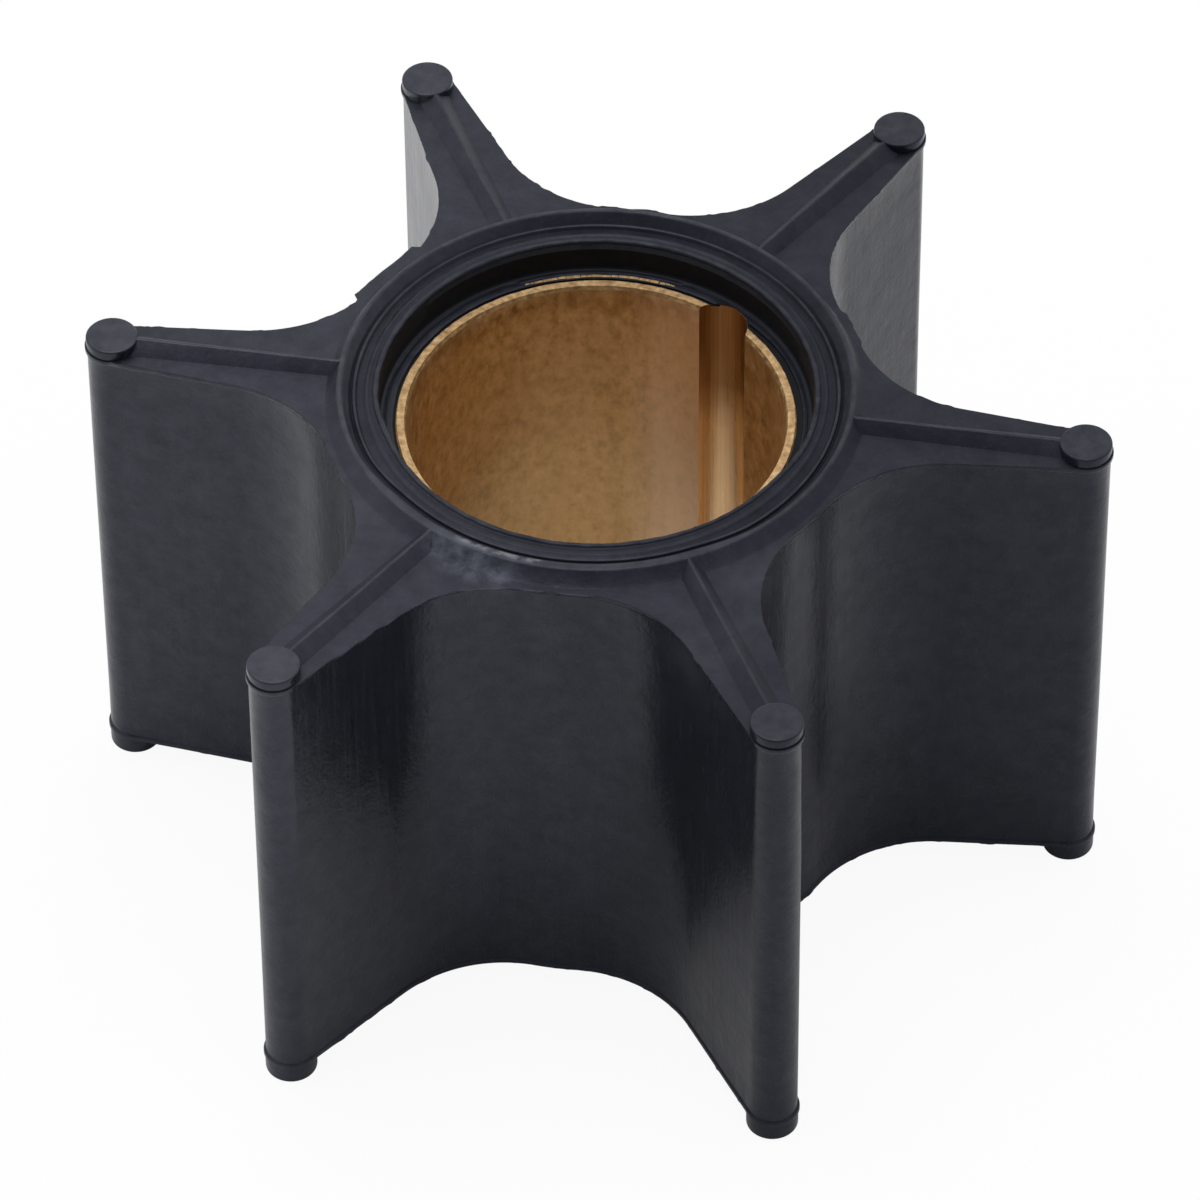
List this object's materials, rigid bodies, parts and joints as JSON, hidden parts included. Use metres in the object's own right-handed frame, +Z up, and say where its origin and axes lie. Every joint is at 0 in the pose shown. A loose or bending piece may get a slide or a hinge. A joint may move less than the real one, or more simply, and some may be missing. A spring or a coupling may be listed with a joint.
{
  "type": "flexible pump impeller",
  "caption": "Moulded rubber pump impeller with tapered radial vanes, beaded tips, end ribs and sealing rings, bonded on a keyed bronze bush.",
  "frame": {"origin": "on the shaft axis, at the underside of the lower nubs that it stands on", "axes": "+Z up along the shaft axis, +X along one vane"},
  "size_m": [0.0758, 0.0662, 0.0424],
  "materials": {
    "rubber": "satin",
    "bronze": "machined"
  },
  "bodies": {
    "root": {"rubber_impeller": "rubber", "bronze_bush": "bronze"}
  },
  "joints": []
}
